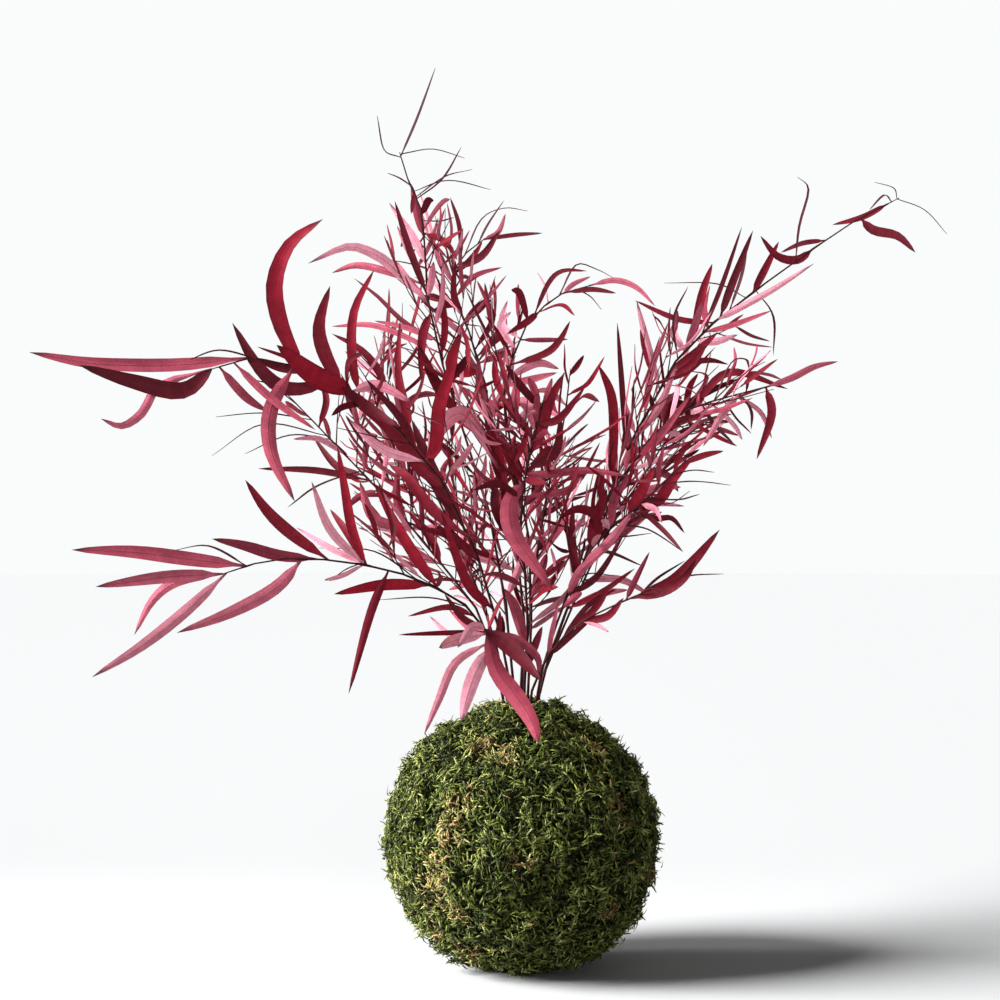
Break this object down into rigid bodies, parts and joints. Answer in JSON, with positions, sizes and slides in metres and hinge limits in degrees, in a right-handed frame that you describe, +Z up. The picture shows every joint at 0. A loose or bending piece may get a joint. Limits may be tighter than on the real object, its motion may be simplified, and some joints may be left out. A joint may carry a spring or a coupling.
{
  "type": "kokedama moss ball plant",
  "caption": "A moss-covered ball of soil with narrow-leaved, red-dyed leafy sprays standing in its top; a table or shelf plant that rests on a small flat spot",
  "frame": {"origin": "middle of the small flat spot that the ball rests on", "axes": "+Z up through the ball, -Y towards the side the picture shows, +X to the right in that view"},
  "size_m": [0.4993, 0.2176, 0.4905],
  "materials": {
    "moss": "matt, tufted moss",
    "soil": "matt, crumbly soil",
    "red_leaf": "satin leaf, dusty pink beneath"
  },
  "bodies": {
    "root": {"moss_cover": "moss", "soil_core": "soil", "spray_far_left": "red_leaf", "spray_low_left": "red_leaf", "spray_thin_left": "red_leaf", "spray_tall": "red_leaf", "spray_high_middle": "red_leaf", "spray_arching": "red_leaf", "spray_upper_right": "red_leaf", "spray_middle_right": "red_leaf", "spray_right": "red_leaf", "spray_low_right": "red_leaf", "spray_centre": "red_leaf", "spray_front": "red_leaf", "spray_back_left": "red_leaf", "spray_back_middle": "red_leaf", "spray_back_right": "red_leaf"}
  },
  "joints": []
}
